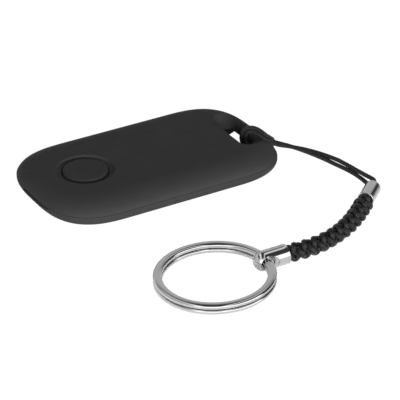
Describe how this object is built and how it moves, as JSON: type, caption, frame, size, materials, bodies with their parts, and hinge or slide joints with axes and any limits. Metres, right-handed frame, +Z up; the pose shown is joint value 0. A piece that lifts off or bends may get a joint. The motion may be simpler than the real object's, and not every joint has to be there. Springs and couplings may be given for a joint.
{
  "type": "bluetooth tracker tag",
  "caption": "Slim rounded-rectangle bluetooth tracker with a press button, removable back cover and coin cell, on a thin cord with metal sleeve, braid, end cap and split key ring.",
  "frame": {"origin": "on the ground under the middle of the tag's housing, which lies flat", "axes": "+X along the tag towards its strap end, +Y to the tag's left, +Z up out of the button face"},
  "size_m": [0.0675, 0.0739, 0.0074],
  "materials": {
    "shell_plastic": "matte",
    "button_plastic": "matte",
    "board": "satin",
    "chip": "matte",
    "ceramic": "matte",
    "led_lens": "gloss",
    "crystal_can": "satin",
    "cell_steel": "brushed",
    "cell_seal": "matte",
    "contact_spring": "satin",
    "brass_plate": "satin",
    "wire": "matte",
    "foam": "matte",
    "nylon_cord": "woven",
    "nylon_braid": "braided",
    "polished_metal": "polished"
  },
  "bodies": {
    "tag": {"upper_shell": "shell_plastic", "switch_base": "crystal_can", "circuit_board": "board", "bluetooth_chip": "chip", "main_crystal": "crystal_can", "clock_crystal": "crystal_can", "chip_antenna": "ceramic", "status_led": "led_lens", "antenna_inductor": "chip", "supply_capacitor": "ceramic", "filter_capacitor": "ceramic", "buzzer_inductor": "chip", "negative_contact": "contact_spring", "positive_contact": "contact_spring", "buzzer_plate": "brass_plate", "buzzer_ceramic": "ceramic", "buzzer_lead_near": "wire", "buzzer_lead_far": "wire", "cord_hitch": "nylon_cord"},
    "button": {"button_cap": "button_plastic", "switch_stem": "button_plastic"},
    "cover": {"back_cover": "shell_plastic", "cell_pad": "foam"},
    "cell": {"cell_can": "cell_steel", "cell_seal": "cell_seal", "cell_cap": "cell_steel"},
    "cord": {"cord_upper_near": "nylon_cord", "cord_upper_far": "nylon_cord"},
    "ferrule": {"cord_lower_near": "nylon_cord", "cord_lower_far": "nylon_cord", "cord_ferrule": "polished_metal", "braid_upper": "nylon_braid"},
    "braid": {"braid_middle": "nylon_braid"},
    "end_cap": {"braid_lower": "nylon_braid", "end_cap": "polished_metal"},
    "ring": {"split_ring": "polished_metal"}
  },
  "joints": [
    {"name": "button_press", "type": "slide", "parent": "tag", "child": "button", "axis": [0, 0, -1], "range_m": [0, 0.0003]},
    {"name": "cover_off", "type": "slide", "parent": "tag", "child": "cover", "axis": [0, 0, -1], "range_m": [0, 0.012]},
    {"name": "cell_out", "type": "slide", "parent": "tag", "child": "cell", "axis": [0, 0, -1], "range_m": [0, 0.006]},
    {"name": "cord_swing", "type": "hinge", "parent": "tag", "child": "cord", "pos_m": [0.0299, -0.0063, 0.00315], "axis": [0, -1, 0], "range_deg": [-30, 100]},
    {"name": "cord_bend", "type": "hinge", "parent": "cord", "child": "ferrule", "pos_m": [0.0359, -0.01753, 0.00293], "axis": [0, 0, 1], "range_deg": [-8, 40]},
    {"name": "braid_bend_upper", "type": "hinge", "parent": "ferrule", "child": "braid", "pos_m": [0.02536, -0.04141, 0.0021], "axis": [0, 0, 1], "range_deg": [-12, 28]},
    {"name": "braid_bend_lower", "type": "hinge", "parent": "braid", "child": "end_cap", "pos_m": [0.01676, -0.0452, 0.0021], "axis": [0, 0, 1], "range_deg": [-15, 28]},
    {"name": "ring_swing", "type": "hinge", "parent": "end_cap", "child": "ring", "pos_m": [0.0018, -0.04554, 0.00192], "axis": [0.0463, 0.9989, 0], "range_deg": [-75, 90]}
  ],
  "couplings": [
    {"joint": "cell_out", "follows": "cover_off", "ratio": 0.5}
  ]
}
